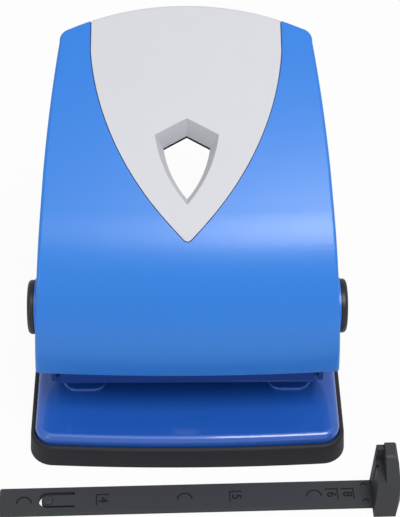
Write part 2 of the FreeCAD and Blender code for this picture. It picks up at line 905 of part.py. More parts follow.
def make_lever_carrier():
    """Steel carrier: two arms on the axle and a web screwed under the shell."""
    web_place = web_frame()
    web_centre = web_place.Base
    outward = web_place.Rotation.multVec(Vector(0, 0, 1))
    web_radius = web_length / 2
    arm_top = web_centre - outward * web_radius
    spots = [
        (Vector(pivot_y, pivot_height, 0), carrier_ear_radius),
        (Vector(press_y, press_z, 0), press_ear_radius),
        (Vector(arm_top.y, arm_top.z, 0), web_radius),
    ]
    pieces = []
    for index in range(len(spots)):
        first, first_radius = spots[index]
        second, second_radius = spots[(index + 1) % len(spots)]
        pieces.append(hull_of_two(first, first_radius, second, second_radius, carrier_sheet))
    corner_points = [spot[0] for spot in spots]
    triangle = Part.makePolygon(corner_points + [corner_points[0]])
    middle = Part.Face(triangle).extrude(Vector(0, 0, carrier_sheet))
    arm = middle.fuse(pieces).removeSplitter()
    inner_x = carrier_half_width - carrier_sheet
    arm.Placement = Placement(Vector(inner_x, 0, 0), across_x)
    web = block(-carrier_half_width, carrier_half_width, -web_length / 2, web_length / 2, -carrier_sheet, 0)
    web.Placement = web_place
    carrier = web.fuse(both_sides(arm)).removeSplitter()
    clearance = 2 * running_clearance
    carrier = carrier.cut(rod_x(pivot_y, pivot_height, -base_width, base_width, axle_diameter + clearance))
    carrier = carrier.cut(rod_x(press_y, press_z, -base_width, base_width, press_bar_diameter + clearance))
    for x in screw_places():
        hole = disc_z(x, 0, -cut_overrun, cut_overrun, screw_diameter + clearance)
        hole.Placement = web_place.multiply(hole.Placement)
        carrier = carrier.cut(hole)
    return carrier


def screw_places():
    places = []
    for x in screw_rows:
        places += [x, -x]
    return places


def make_carrier_screws():
    screws = []
    for x in screw_places():
        under = -carrier_sheet - screw_head_height
        shank = disc_z(x, 0, -carrier_sheet, -carrier_sheet + screw_length, screw_diameter)
        head = disc_z(x, 0, under, -carrier_sheet, screw_head_diameter)
        drive_run = screw_diameter / 2
        drive_half = screw_drive_width / 2
        drive_top = under + screw_drive_depth
        drive = block(x - drive_run, x + drive_run, -drive_half, drive_half, under - cut_overrun, drive_top)
        screw = head.fuse(shank).cut(drive).removeSplitter()
        screw.Placement = web_frame().multiply(screw.Placement)
        screws.append(screw)
    return Part.makeCompound(screws)


def bar_end():
    return frame_inner - press_bar_end_gap


def bar_clip_station():
    return carrier_half_width + running_clearance


def make_press_bar():
    end = bar_end()
    bar = rod_x(press_y, press_z, -end, end, press_bar_diameter)
    low = bar_clip_station()
    groove = rod_x(press_y, press_z, low, low + bar_clip_thickness, press_bar_diameter + cut_overrun)
    groove = groove.cut(rod_x(press_y, press_z, low, low + bar_clip_thickness, bar_groove_diameter))
    for piece in both_sides(groove):
        bar = bar.cut(piece)
    return bar


def make_press_bar_clips():
    thickness = bar_clip_thickness - 2 * running_clearance
    ring = clip_ring(bar_clip_diameter, bar_groove_diameter + 2 * running_clearance, thickness)
    x = bar_clip_station() + running_clearance
    ring.Placement = Placement(Vector(x, press_y, press_z), Rotation(Vector(0, 1, 0), 90))
    return Part.makeCompound(both_sides(ring))


def skirt_edges():
    """Lower edge of the handle's sides, from the apron to the rear lip."""
    apron = nose_point(nose_start_angle, 0)
    front = handle_point(-skirt_front_station, -skirt_front_drop)
    middle = handle_point(skirt_mid_station, -skirt_mid_drop)
    back = handle_point(skirt_back_station, -skirt_back_drop)
    rear = handle_point(skirt_rear_station, skirt_rear_rise)
    crown_end = crown_point(crown_end_angle, 0)
    return [line(apron, front), arc(front, middle, back), line(back, rear), line(rear, crown_end)]


def on_top_rim(edge):
    """True for an edge where the handle's top meets its sides or rear."""
    middle = edge.valueAt((edge.FirstParameter + edge.LastParameter) / 2) - pivot
    station = middle.y * math.cos(slope) + middle.z * math.sin(slope)
    level = middle.z * math.cos(slope) - middle.y * math.sin(slope)
    bow = front_half * front_half / front_bow_radius
    near_nose = math.hypot(station - nose_centre_ahead, level + nose_centre_drop) > nose_radius - bow
    near_crown = level > crown_level - bow
    near_top = near_nose if station < nose_centre_ahead else near_crown
    return near_top and not isinstance(edge.Curve, Part.Circle)


def shell_body():
    nose, crown = crown_line(0, nose_start_angle)
    solid = bowed([nose, crown] + skirt_edges()).common(plan_prism(0))
    return solid.makeFillet(shell_edge_round, edges_where(solid, on_top_rim))


def shell_hollow():
    nose, crown = crown_line(shell_wall, hollow_start_angle)
    deep_front = handle_point(-front_station, -nose_radius)
    deep_back = handle_point(rear_apex + nose_radius, -nose_radius)
    edges = [nose, crown, line(crown_point(crown_end_angle, shell_wall), deep_back)]
    edges += [line(deep_back, deep_front), line(deep_front, nose_point(hollow_start_angle, shell_wall))]
    return bowed(edges).common(plan_prism(-shell_wall))


def make_handle_shell():
    """Blue handle moulding with its nose, skirts, inlay recess and bosses."""
    body = shell_body()
    hollow = shell_hollow()
    shell = body.cut(hollow)
    ledge = crown_band(inlay_thickness, inlay_thickness + inlay_floor)
    ledge = ledge.common(shield_prism(inlay_ledge)).common(body)
    shell = shell.fuse(ledge)
    for ring in both_sides(boss_ring()):
        shell = shell.fuse(ring)
    for x in screw_places():
        shell = shell.fuse(screw_boss(x).common(body))
    shell = shell.cut(crown_band(-cut_overrun, inlay_thickness).common(shield_prism(inlay_groove)))
    low = crown_level - window_depth - cut_overrun
    hole_share = kite_share(crown_level, window_wall + assembly_gap)
    shell = shell.cut(kite_prism(hole_share, low, crown_level + cut_overrun))
    axle_bore = axle_diameter + 2 * running_clearance
    shell = shell.cut(rod_x(pivot_y, pivot_height, -base_width, base_width, axle_bore))
    bore_end = screw_length - carrier_sheet + assembly_gap
    for x in screw_places():
        bore = disc_z(x, 0, -cut_overrun, bore_end, screw_diameter + 2 * running_clearance)
        bore.Placement = web_frame().multiply(bore.Placement)
        shell = shell.cut(bore)
    return shell.removeSplitter()


def boss_ring():
    """Bearing ring on the inside of the shell, faced flat outside for the cap."""
    return rod_x(pivot_y, pivot_height, frame_half_width + assembly_gap, boss_face, boss_ring_diameter)


def screw_boss(x):
    boss = disc_z(x, 0, 0, web_drop + shell_wall, boss_diameter)
    boss.Placement = web_frame().multiply(boss.Placement)
    return boss


def make_handle_inlay():
    """Light grey shield with drafted window walls reaching down through the shell."""
    band = crown_band(-cut_overrun, inlay_thickness).common(shield_prism(0)).common(shell_body())
    bottom = crown_level - window_depth
    tube = kite_cone(crown_level - inlay_thickness / 2, bottom, window_wall)
    low = bottom - inlay_thickness
    high = crown_level + cut_overrun / 2
    return band.fuse(tube).cut(kite_cone(high, low, 0)).removeSplitter()


def make_handle_underpanel():
    """Flat black panel under the window, let into the handle's hollow."""
    high = crown_level - window_depth - panel_gap
    low = high - panel_thickness
    draft = math.tan(math.radians(side_draft))
    wire = plan_outline(draft * (crown_level - high) - shell_wall - assembly_gap, low)
    panel = Part.Face(wire).extrude(Vector(0, 0, panel_thickness))
    cut_low = low - cut_overrun
    cut_high = high + cut_overrun
    front = block(-base_width, base_width, -base_depth, panel_front_station, cut_low, cut_high)
    panel = to_handle(panel.cut(front))
    share = kite_share(crown_level - window_depth, 0)
    return panel.cut(kite_prism(share, cut_low, cut_high))


def guide_place():
    """Where the paper guide lies: in front of the base, slightly turned."""
    turn = Rotation(Vector(0, 0, 1), guide_turn)
    return Placement(Vector(guide_left_end, -guide_centre_ahead, 0), turn)


def make_paper_guide():
    """Sliding guide: graduated bar with a sprung detent and an upright stop."""
    half = bar_width / 2
    bar = block(0, bar_length + head_length / 2, -half, half, 0, bar_thickness)
    bar = bar.makeFillet(bar_end_round, edges_where(bar, bar_corner))
    tongue_half = tongue_width / 2
    bump_x = tongue_start + tongue_slot + tongue_half
    window = tongue_form(bump_x, 0, tongue_half + tongue_slot)
    bar = bar.cut(window.cut(tongue_form(bump_x, -tongue_forward, tongue_half)))
    bump = disc_z(bump_x, -tongue_forward, bar_thickness / 2, bar_thickness + detent_rise, detent_diameter)
    bump = bump.makeFillet(detent_rise * detent_round_share, top_edges(bump, bar_thickness + detent_rise))
    guide = bar.fuse([bump, guide_head()]).removeSplitter()
    guide.Placement = guide_place()
    return guide


def tongue_form(centre_x, centre_y, half):
    """Round-ended column over the tongue, with the round end round the bump."""
    tongue_end = tongue_start + tongue_length
    straight = block(centre_x, tongue_end, centre_y - half, centre_y + half, -cut_overrun, cut_overrun)
    return straight.fuse(disc_z(centre_x, centre_y, -cut_overrun, cut_overrun, 2 * half))


def bar_corner(edge):
    ends = [vertex.Point for vertex in edge.Vertexes]
    upright = abs(ends[0].z - ends[-1].z) > pick_tolerance
    return upright and all(abs(end.x) < pick_tolerance for end in ends)


def guide_head():
    """Upright stop at the bar's end: broad foot, fin at the back, thumb step and rounded knob."""
    front = -bar_width / 2 - head_front_ledge
    back = front + head_width
    shoulder = head_height - head_shoulder_drop
    top = head_height + knob_rise
    profile = [
        (front, 0, 0),
        (front + head_taper, shoulder, head_round),
        (back - head_top_back, top, head_crest_round),
        (back, top, head_round),
        (back, 0, 0),
    ]
    head = side_plate(profile, bar_length, head_length).common(head_front_form())
    step_end = bar_length + head_length - head_right_lean - knob_width
    over = bar_length - cut_overrun
    step = block(over, step_end, front, back - fin_thickness, shoulder, top + cut_overrun)
    fin_top = block(over, step_end, front, back + cut_overrun, head_height, top + cut_overrun)
    return head.cut(step).cut(fin_top).cut(head_corner()).cut(stop_groove(back))


def head_front_form():
    """Outline of the head seen from the front, run through its depth."""
    left = bar_length
    right = bar_length + head_length
    top = head_height + knob_rise
    corners = [
        (left, 0, 0),
        (right, 0, 0),
        (right - head_right_lean, top, knob_round),
        (left + head_left_lean, top, head_round),
    ]
    face = Part.Face(rounded_polygon(corners))
    column = face.extrude(Vector(0, 0, 2 * base_depth))
    column.Placement = Placement(Vector(0, base_depth, 0), Rotation(Vector(1, 0, 0), 90))
    return column


def head_corner():
    """Wedge cut from the head's front corner on the far side from the bar."""
    front = -bar_width / 2 - head_front_ledge
    right = bar_length + head_length
    far = right + head_corner_cut
    corners = [
        (right - head_corner_cut, front, 0),
        (right, front + head_corner_run, 0),
        (far, front + head_corner_run, 0),
        (far, front - head_corner_run, 0),
        (right - head_corner_cut, front - head_corner_run, 0),
    ]
    return Part.Face(rounded_polygon(corners)).extrude(Vector(0, 0, head_height + 2 * knob_rise))


def stop_groove(back):
    """Upright groove in the face that the sheet's edge meets."""
    high = back - stop_groove_front
    low = high - stop_groove_width
    depth = bar_length + head_left_lean + stop_groove_depth
    return block(bar_length - cut_overrun, depth, low, high, stop_groove_low, head_height + cut_overrun)


def main():
    os.makedirs("parts", exist_ok=True)
    half_pitch = hole_pitch / 2
    cap = make_pivot_cap()
    save("base_plate", make_base_plate())
    save("chip_tray", make_chip_tray())
    save("frame_rivets", make_frame_rivets())
    save("die_bushings", make_die_bushings())
    save("punch_frame", make_punch_frame())
    save("upper_guide_plate", make_upper_guide_plate())
    save("pivot_axle", make_pivot_axle())
    save("axle_washers", make_axle_washers())
    save("pivot_cap_right", cap)
    save("pivot_cap_left", mirrored(cap))
    for side, x in (("right", half_pitch), ("left", -half_pitch)):
        save("punch_pin_" + side, make_punch(x))
        save("spring_collar_" + side, make_collar(x))
        save("punch_clip_" + side, make_punch_clip(x))
        save("return_spring_" + side, make_return_spring(x))
    save("lever_carrier", make_lever_carrier())
    save("carrier_screws", make_carrier_screws())
    save("press_bar", make_press_bar())
    save("press_bar_clips", make_press_bar_clips())
    save("handle_shell", make_handle_shell())
    save("handle_inlay", make_handle_inlay())
    save("handle_underpanel", make_handle_underpanel())
    save("paper_guide", make_paper_guide())


main()
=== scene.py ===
"""Looks of a two-hole lever punch, built round its fixed solids.

Lengths are metres unless a name says otherwise. +Z is up and +Y runs from the
paper mouth to the back of the base.
"""

import json
import logging
import math
from abc import ABC, abstractmethod
from collections.abc import Callable
from dataclasses import dataclass, field
from enum import Enum
from typing import Any, ClassVar

import bpy
from mathutils import Euler, Matrix, Vector


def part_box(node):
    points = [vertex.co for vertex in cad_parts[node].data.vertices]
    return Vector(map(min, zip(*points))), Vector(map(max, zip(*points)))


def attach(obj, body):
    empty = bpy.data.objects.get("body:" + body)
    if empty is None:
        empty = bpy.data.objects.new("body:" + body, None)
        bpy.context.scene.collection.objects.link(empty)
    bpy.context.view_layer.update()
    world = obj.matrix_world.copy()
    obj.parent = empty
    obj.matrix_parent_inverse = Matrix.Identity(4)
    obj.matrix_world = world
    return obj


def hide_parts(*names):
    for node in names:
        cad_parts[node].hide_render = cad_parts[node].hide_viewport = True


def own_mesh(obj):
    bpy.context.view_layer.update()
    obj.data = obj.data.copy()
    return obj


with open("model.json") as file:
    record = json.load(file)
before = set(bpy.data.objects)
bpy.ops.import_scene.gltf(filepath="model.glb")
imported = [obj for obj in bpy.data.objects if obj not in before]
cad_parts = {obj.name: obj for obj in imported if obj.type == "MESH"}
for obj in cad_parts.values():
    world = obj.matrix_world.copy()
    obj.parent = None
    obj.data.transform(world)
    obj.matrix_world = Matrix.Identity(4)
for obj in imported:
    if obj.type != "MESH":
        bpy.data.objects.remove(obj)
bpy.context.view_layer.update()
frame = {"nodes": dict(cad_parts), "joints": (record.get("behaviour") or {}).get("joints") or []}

MILLIMETRE = 0.001
SRGB_KNEE = 0.04045
SRGB_LINEAR_SLOPE = 12.92
SRGB_OFFSET = 0.055
SRGB_POWER = 2.4
BYTE_TOP = 255.0
NOISE_MIDDLE = 0.5
# Vertices nearer to each other than this are one
MERGE_GAP = 0.007 * MILLIMETRE
# Cosine above which a face counts as facing along an axis
FACING = 0.9

log = logging.getLogger("punch")

Colour = tuple[float, float, float]
Point = tuple[float, float, float]

WHITE: Colour = (1.0, 1.0, 1.0)


def linear(red: int, green: int, blue: int) -> Colour:
    """Turn display bytes into a linear colour.

    Args:
        red: Red, 0 to 255.
        green: Green, 0 to 255.
        blue: Blue, 0 to 255.

    Returns:
        The colour in linear light.
    """

    def channel(value: int) -> float:
        """One channel in linear light."""
        share = value / BYTE_TOP
        if share <= SRGB_KNEE:
            return share / SRGB_LINEAR_SLOPE
        return ((share + SRGB_OFFSET) / (1 + SRGB_OFFSET)) ** SRGB_POWER

    return channel(red), channel(green), channel(blue)


def shaded(colour: Colour, share: float) -> Colour:
    """Darken or lighten a colour by a share.

    Args:
        colour: Linear colour.
        share: Factor on each channel.

    Returns:
        The scaled colour.
    """
    return colour[0] * share, colour[1] * share, colour[2] * share


def shifted(x: float, y: float, z: float) -> Matrix:
    """Matrix that moves a piece."""
    return Matrix.Translation(Vector((x, y, z)))


def turned(angle: float) -> Matrix:
    """Matrix that turns a piece about Z."""
    return Euler((0.0, 0.0, angle)).to_matrix().to_4x4()


class Lay(Enum):
    """Direction of the marks that a surface was finished with."""

    ALONG_X = (0.03, 1.0, 1.0)
    ALONG_Z = (1.0, 1.0, 0.03)
    NONE = (1.0, 1.0, 1.0)


class Detail(Enum):
    """Octaves of finer noise that a noise holds."""

    SOFT = 1.0
    EVEN = 2.0
    RICH = 3.0
    FINE = 4.0


class Signal:
    """A shader value that takes part in Python arithmetic."""

    def __init__(self, graph: "Graph", socket: bpy.types.NodeSocket) -> None:
        """Wrap one output socket of a graph."""
        self.graph = graph
        self.socket = socket

    def _math(self, operation: str, first: Any, second: Any) -> "Signal":
        """Add one Math node that joins two values."""
        return self.graph.node("ShaderNodeMath", {"operation": operation}, {0: first, 1: second})

    def __add__(self, other: Any) -> "Signal":
        """Sum of two values."""
        return self._math("ADD", self, other)

    def __radd__(self, other: Any) -> "Signal":
        """Sum with a number on the left."""
        return self._math("ADD", other, self)

    def __sub__(self, other: Any) -> "Signal":
        """Difference of two values."""
        return self._math("SUBTRACT", self, other)

    def __rsub__(self, other: Any) -> "Signal":
        """Difference from a number on the left."""
        return self._math("SUBTRACT", other, self)

    def __mul__(self, other: Any) -> "Signal":
        """Product of two values."""
        return self._math("MULTIPLY", self, other)

    def __rmul__(self, other: Any) -> "Signal":
        """Product with a number on the left."""
        return self._math("MULTIPLY", other, self)

    def __gt__(self, other: Any) -> "Signal":
        """One where the value is above another, else zero."""
        return self._math("GREATER_THAN", self, other)


class Graph:
    """The node tree of one material or world."""

    def __init__(self, tree: bpy.types.NodeTree) -> None:
        """Start from an emptied tree."""
        self.tree = tree
        tree.nodes.clear()

    def node(self, kind: str, settings: dict[str, Any] | None = None,
             inputs: dict[Any, Any] | None = None, output: str | int = 0) -> Signal:
        """Add a node, set it up and feed its sockets.

        Args:
            kind: The node's type name.
            settings: Properties to set first, such as a Math node's operation.
            inputs: Socket name, identifier or index to a value or Signal.
            output: Name, identifier or index of the output to return.

        Returns:
            The chosen output.
        """
        made = self.tree.nodes.new(kind)
        for name, value in (settings or {}).items():
            setattr(made, name, value)
        for key, value in (inputs or {}).items():
            socket = self._socket(made.inputs, key)
            if isinstance(value, Signal):
                self.tree.links.new(value.socket, socket)
            elif isinstance(value, tuple) and socket.type == "RGBA":
                socket.default_value = (*value, 1.0)
            else:
                socket.default_value = value
        return Signal(self, self._socket(made.outputs, output))

    @staticmethod
    def _socket(sockets: Any, key: str | int) -> bpy.types.NodeSocket:
        """Find a socket by index, identifier or name."""
        if isinstance(key, int):
            return sockets[key]
        for socket in sockets:
            if socket.identifier == key:
                return socket
        return sockets[key]

    def close(self, shader: Signal, kind: str = "ShaderNodeOutputMaterial") -> None:
        """Lead a shader to the tree's output.

        Args:
            shader: The finished shader.
            kind: Type name of the output node.
        """
        output = self.tree.nodes.new(kind)
        self.tree.links.new(shader.socket, output.inputs["Surface"])

    def coordinates(self, lay: Lay = Lay.NONE) -> Signal:
        """Object coordinates in metres, stretched along a lay."""
        place = self.node("ShaderNodeTexCoord", output="Object")
        inputs = {"Vector": place, "Scale": lay.value}
        return self.node("ShaderNodeMapping", {"vector_type": "POINT"}, inputs)

    def noise(self, feature: float, detail: Detail, lay: Lay = Lay.NONE) -> Signal:
        """Noise whose features are about one length across.

        Args:
            feature: Size of a feature.
            detail: How much finer noise it holds.
            lay: Direction in which its features are drawn out.

        Returns:
            A value near the noise's middle that varies between 0 and 1.
        """
        inputs = {"Vector": self.coordinates(lay), "Scale": 1 / feature, "Detail": detail.value}
        return self.node("ShaderNodeTexNoise", inputs=inputs, output="Fac")

    def cells(self, feature: float) -> Signal:
        """Distance to the nearest of many scattered points."""
        inputs = {"Vector": self.coordinates(), "Scale": 1 / feature}
        return self.node("ShaderNodeTexVoronoi", inputs=inputs, output="Distance")

    def mix_colour(self, first: Any, second: Any, factor: Any) -> Signal:
        """Blend two colours.

        Args:
            first: Colour or Signal at factor 0.
            second: Colour or Signal at factor 1.
            factor: Number or Signal.

        Returns:
            The blended colour.
        """
        inputs = {"Factor_Float": factor, "A_Color": first, "B_Color": second}
        return self.node("ShaderNodeMix", {"data_type": "RGBA"}, inputs, "Result_Color")

    def bump(self, height: Signal, depth: float, under: Signal | None = None) -> Signal:
        """Surface normal of a height map.

        Args:
            height: Height, 0 to 1.
            depth: Length that a height of 1 stands for.
            under: Normal that this one is laid on.

        Returns:
            The normal.
        """
        inputs: dict[Any, Any] = {"Height": height, "Distance": depth, "Strength": 1.0}
        if under is not None:
            inputs["Normal"] = under
        return self.node("ShaderNodeBump", inputs=inputs, output="Normal")

    def steady_normal(self, trusted: float, refused: float) -> Signal:
        """Smooth normal that gives way to the facet's own where the two part.

        Args:
            trusted: Angle up to which the smooth normal is kept.
            refused: Angle from which the facet's normal is taken.

        Returns:
            The normal.
        """
        smooth = self.node("ShaderNodeNewGeometry", output="Normal")
        facet = self.node("ShaderNodeNewGeometry", output="True Normal")
        agreement = self.node("ShaderNodeVectorMath", {"operation": "DOT_PRODUCT"},
                              {0: smooth, 1: facet}, "Value")
        limits = {"Value": agreement, "From Min": math.cos(refused), "From Max": math.cos(trusted)}
        share = self.node("ShaderNodeMapRange", {"clamp": True}, limits)
        blend = {"Factor_Float": share, "A_Vector": facet, "B_Vector": smooth}
        mixed = self.node("ShaderNodeMix", {"data_type": "VECTOR"}, blend, "Result_Vector")
        return self.node("ShaderNodeVectorMath", {"operation": "NORMALIZE"}, {0: mixed})


class Finish(ABC):
    """A named surface finish that makes its material once."""

    title: str
    _made: ClassVar[dict[str, bpy.types.Material]] = {}

    @abstractmethod
    def shader(self, graph: Graph) -> Signal:
        """Build the shader of this finish."""

    def material(self) -> bpy.types.Material:
        """Material of this finish, made at its first use."""
        if self.title not in self._made:
            made = bpy.data.materials.new(self.title)
            made.use_nodes = True
            graph = Graph(made.node_tree)
            graph.close(self.shader(graph))
            self._made[self.title] = made
        return self._made[self.title]


@dataclass(frozen=True)
class MouldedPlastic(Finish):
    """Injection-moulded plastic with a fine tool texture."""

    title: str
    colour: Colour
    roughness: float = 0.4
    roughness_swing: float = 0.08
    grain: float = 0.0004
    grain_depth: float = 0.00001
    sink: float = 0.03
    sink_depth: float = 0.00003
    wear: float = 0.004
    cloud: float = 0.012
    cloud_share: float = 0.94
    specular: float = 0.5
    trusted_angle: float = math.radians(4.0)
    refused_angle: float = math.radians(9.0)

    def shader(self, graph: Graph) -> Signal:
        """Build the shader: clouded colour, spark-eroded grain and faint sink."""
        clouds = graph.noise(self.cloud, Detail.RICH)
        grain = graph.noise(self.grain, Detail.EVEN)
        sink = graph.noise(self.sink, Detail.SOFT)
        wear = graph.noise(self.wear, Detail.FINE)
        colour = graph.mix_colour(self.colour, shaded(self.colour, self.cloud_share), clouds)
        roughness = self.roughness + (wear - NOISE_MIDDLE) * self.roughness_swing
        steady = graph.steady_normal(self.trusted_angle, self.refused_angle)
        broad = graph.bump(sink, self.sink_depth, steady)
        normal = graph.bump(grain, self.grain_depth, broad)
        inputs = {"Base Color": colour, "Roughness": roughness, "Normal": normal,
                  "Specular IOR Level": self.specular}
        return graph.node("ShaderNodeBsdfPrincipled", inputs=inputs)


@dataclass(frozen=True)
class Enamel(Finish):
    """Baked enamel on pressed steel, with a slight orange peel."""

    title: str
    colour: Colour
    roughness: float = 0.3
    roughness_swing: float = 0.06
    coat: float = 1.0
    coat_roughness: float = 0.07
    peel: float = 0.0022
    peel_depth: float = 0.000012
    nib: float = 0.006
    nib_radius_share: float = 0.045
    nib_depth: float = 0.00002
    pool: float = 0.024
    pool_share: float = 0.92

    def shader(self, graph: Graph) -> Signal:
        """Build the shader: orange peel, a few dust nibs and a clear coat."""
        peel = graph.noise(self.peel, Detail.SOFT)
        nibs = 1 - (graph.cells(self.nib) > self.nib_radius_share)
        pool = graph.noise(self.pool, Detail.EVEN)
        colour = graph.mix_colour(self.colour, shaded(self.colour, self.pool_share), pool)
        roughness = self.roughness + (pool - NOISE_MIDDLE) * self.roughness_swing
        broad = graph.bump(peel, self.peel_depth)
        normal = graph.bump(nibs, self.nib_depth, broad)
        inputs = {"Base Color": colour, "Roughness": roughness, "Normal": normal,
                  "Coat Weight": self.coat, "Coat Roughness": self.coat_roughness}
        return graph.node("ShaderNodeBsdfPrincipled", inputs=inputs)


@dataclass(frozen=True)
class Steel(Finish):
    """Bare, plated or ground steel."""

    title: str
    colour: Colour
    tint: Colour
    lay: Lay = Lay.NONE
    roughness: float = 0.3
    roughness_swing: float = 0.16
    stroke: float = 0.00025
    stroke_depth: float = 0.000004
    patch: float = 0.008

    def shader(self, graph: Graph) -> Signal:
        """Build the shader: finishing strokes and tinted patches."""
        strokes = graph.noise(self.stroke, Detail.RICH, self.lay)
        patches = graph.noise(self.patch, Detail.RICH)
        colour = graph.mix_colour(self.colour, self.tint, patches)
        roughness = self.roughness + (strokes - NOISE_MIDDLE) * self.roughness_swing
        normal = graph.bump(strokes, self.stroke_depth)
        inputs = {"Base Color": colour, "Metallic": 1.0, "Roughness": roughness, "Normal": normal}
        return graph.node("ShaderNodeBsdfPrincipled", inputs=inputs)


BLUE_MOULDING = MouldedPlastic("blue_satin_moulding", linear(18, 119, 214), roughness=0.35,
                               roughness_swing=0.05, grain=0.0005, grain_depth=0.000012,
                               cloud_share=0.96, specular=0.75)
GREY_MOULDING = MouldedPlastic("light_grey_moulding", linear(201, 202, 208), roughness=0.55,
                               grain=0.00035, grain_depth=0.000014, cloud_share=0.97,
                               specular=0.3)
BLACK_MOULDING = MouldedPlastic("black_satin_moulding", linear(29, 29, 36), cloud_share=0.8)
TRAY_MOULDING = MouldedPlastic("soft_black_tray", linear(32, 33, 40), roughness=0.6,
                               grain=0.0006, grain_depth=0.00002, cloud_share=0.85,
                               specular=0.35)
GUIDE_MOULDING = MouldedPlastic("grained_black_guide", linear(48, 49, 53), roughness=0.55,
                                grain=0.0003, cloud_share=0.88)
# The marks are moulded in the bar's own plastic. Their darker colour is painted shade round their
# low relief.
GUIDE_MARKS_PAINTED_SHADE = MouldedPlastic("guide_marks_painted_shade", linear(24, 24, 28), roughness=0.7,
                             cloud_share=0.9, specular=0.2)
NYLON = MouldedPlastic("black_nylon", linear(30, 30, 32), roughness=0.48, cloud_share=0.8)
PLATE_ENAMEL = Enamel("blue_enamel", linear(28, 88, 182))
# The frame has the plate's blue paint. This darker copy of it is painted shade from the handle
# that hangs over the frame.
FRAME_ENAMEL_PAINTED_SHADE = Enamel("blue_frame_painted_shade_enamel", linear(20, 62, 140), roughness=0.36, coat=0.35)
ZINC = Steel("zinc_plate", linear(196, 200, 206), linear(178, 186, 200), Lay.ALONG_X)
GROUND_STEEL = Steel("ground_steel", linear(178, 178, 182), linear(158, 158, 164),
                     Lay.ALONG_Z, roughness=0.22)
TURNED_STEEL = Steel("turned_steel", linear(182, 184, 188), linear(160, 164, 172),
                     Lay.ALONG_X, roughness=0.26)
SPRING_WIRE = Steel("spring_wire", linear(150, 150, 154), linear(120, 118, 116),
                    roughness=0.34)


def dress(node: str, finish: Finish) -> None:
    """Give a fixed node its finish.

    Args:
        node: Name of the node.
        finish: Its surface finish.
    """
    piece = frame["nodes"][node]
    for place in piece.material_slots:
        place.material = finish.material()
    log.info("dressed %s with %s", node, finish.title)


class Bench:
    """Steps that every new piece goes through on the modelling bench."""

    @staticmethod
    def deselect() -> None:
        """Leave nothing selected."""
        if bpy.context.mode != "OBJECT":
            bpy.ops.object.mode_set(mode="OBJECT")
        bpy.ops.object.select_all(action="DESELECT")

    @staticmethod
    def active(name: str) -> bpy.types.Object:
        """The object just made, under its own name."""
        piece = bpy.context.view_layer.objects.active
        piece.name = name
        piece.data.name = name
        return piece

    @staticmethod
    def choose(piece: bpy.types.Object) -> None:
        """Select one piece alone."""
        Bench.deselect()
        piece.select_set(True)
        bpy.context.view_layer.objects.active = piece

    @staticmethod
    def edit_all(piece: bpy.types.Object) -> None:
        """Open edit mode with the whole piece selected."""
        Bench.choose(piece)
        bpy.ops.object.mode_set(mode="EDIT")
        bpy.ops.mesh.select_all(action="SELECT")

    @staticmethod
    def edit_faces(piece: bpy.types.Object, test: Callable[[Vector, Vector], bool]) -> None:
        """Open edit mode with the faces that pass a test selected.

        Args:
            piece: Mesh object.
            test: Takes a face's centre and normal.
        """
        Bench.choose(piece)
        bpy.ops.object.mode_set(mode="EDIT")
        bpy.ops.mesh.select_all(action="DESELECT")
        bpy.ops.mesh.select_mode(type="FACE")
        bpy.ops.object.mode_set(mode="OBJECT")
        for face in piece.data.polygons:
            face.select = test(face.center, face.normal)
        bpy.ops.object.mode_set(mode="EDIT")

    @staticmethod
    def mend(piece: bpy.types.Object, capped: bool = False) -> None:
        """Merge a swept mesh's doubles and turn its faces outwards.

        Args:
            piece: Mesh object.
            capped: Whether its open ends are closed as well.
        """
        Bench.edit_all(piece)
        bpy.ops.mesh.remove_doubles(threshold=MERGE_GAP)
        if capped:
            bpy.ops.mesh.fill_holes(sides=0)
        bpy.ops.mesh.normals_make_consistent(inside=False)
        bpy.ops.object.mode_set(mode="OBJECT")

    @staticmethod
    def finish_modifier(piece: bpy.types.Object, kind: str, **settings: Any) -> None:
        """Add a modifier and apply it.

        Args:
            piece: Mesh object.
            kind: The modifier's type name.
            **settings: Its properties.
        """
        Bench.choose(piece)
        modifier = piece.modifiers.new(kind.title(), kind)
        for name, value in settings.items():
            setattr(modifier, name, value)
        bpy.ops.object.modifier_apply(modifier=modifier.name)

    @staticmethod
    def keep_place(piece: bpy.types.Object) -> None:
        """Move an object's place, turn and scale into its mesh."""
        Bench.choose(piece)
        bpy.ops.object.transform_apply(location=True, rotation=True, scale=True)

    @staticmethod
    def settle(piece: bpy.types.Object, place: Matrix) -> None:
        """Move a piece to its place and keep that place in its mesh."""
        piece.matrix_world = place @ piece.matrix_world
        Bench.keep_place(piece)

    @staticmethod
    def carry(piece: bpy.types.Object, body: str, slot: str, finish: Finish) -> None:
        """Dress a piece and let it ride on its body.

        Args:
            piece: Finished mesh object.
            body: Body that carries it.
            slot: The record's material slot, which is not used.
            finish: Its surface finish.
        """
        piece.data.materials.clear()
        piece.data.materials.append(finish.material())
        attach(piece, body)
        log.info("made %s on %s", piece.name, body)


@dataclass
class DressedUnit:
    """Sub-assembly whose solids need nothing but their finishes."""

    finishes: dict[str, Finish]

    def build(self) -> None:
        """Dress the unit's pieces."""
        for node, finish in self.finishes.items():
            dress(node, finish)


@dataclass
class BaseUnit(DressedUnit):
    """Base plate, chip tray, folded frame and what is fixed to them."""

    finishes: dict[str, Finish] = field(default_factory=lambda: {
        "base_plate": PLATE_ENAMEL,
        "chip_tray": TRAY_MOULDING,
        # The frame's darker blue is painted shade under the handle.
        "punch_frame": FRAME_ENAMEL_PAINTED_SHADE,
        "frame_rivets": ZINC,
        "die_bushings": GROUND_STEEL,
        "upper_guide_plate": ZINC,
        "pivot_axle": TURNED_STEEL,
        "axle_washers": NYLON,
        "pivot_cap_right": BLACK_MOULDING,
        "pivot_cap_left": BLACK_MOULDING,
    })


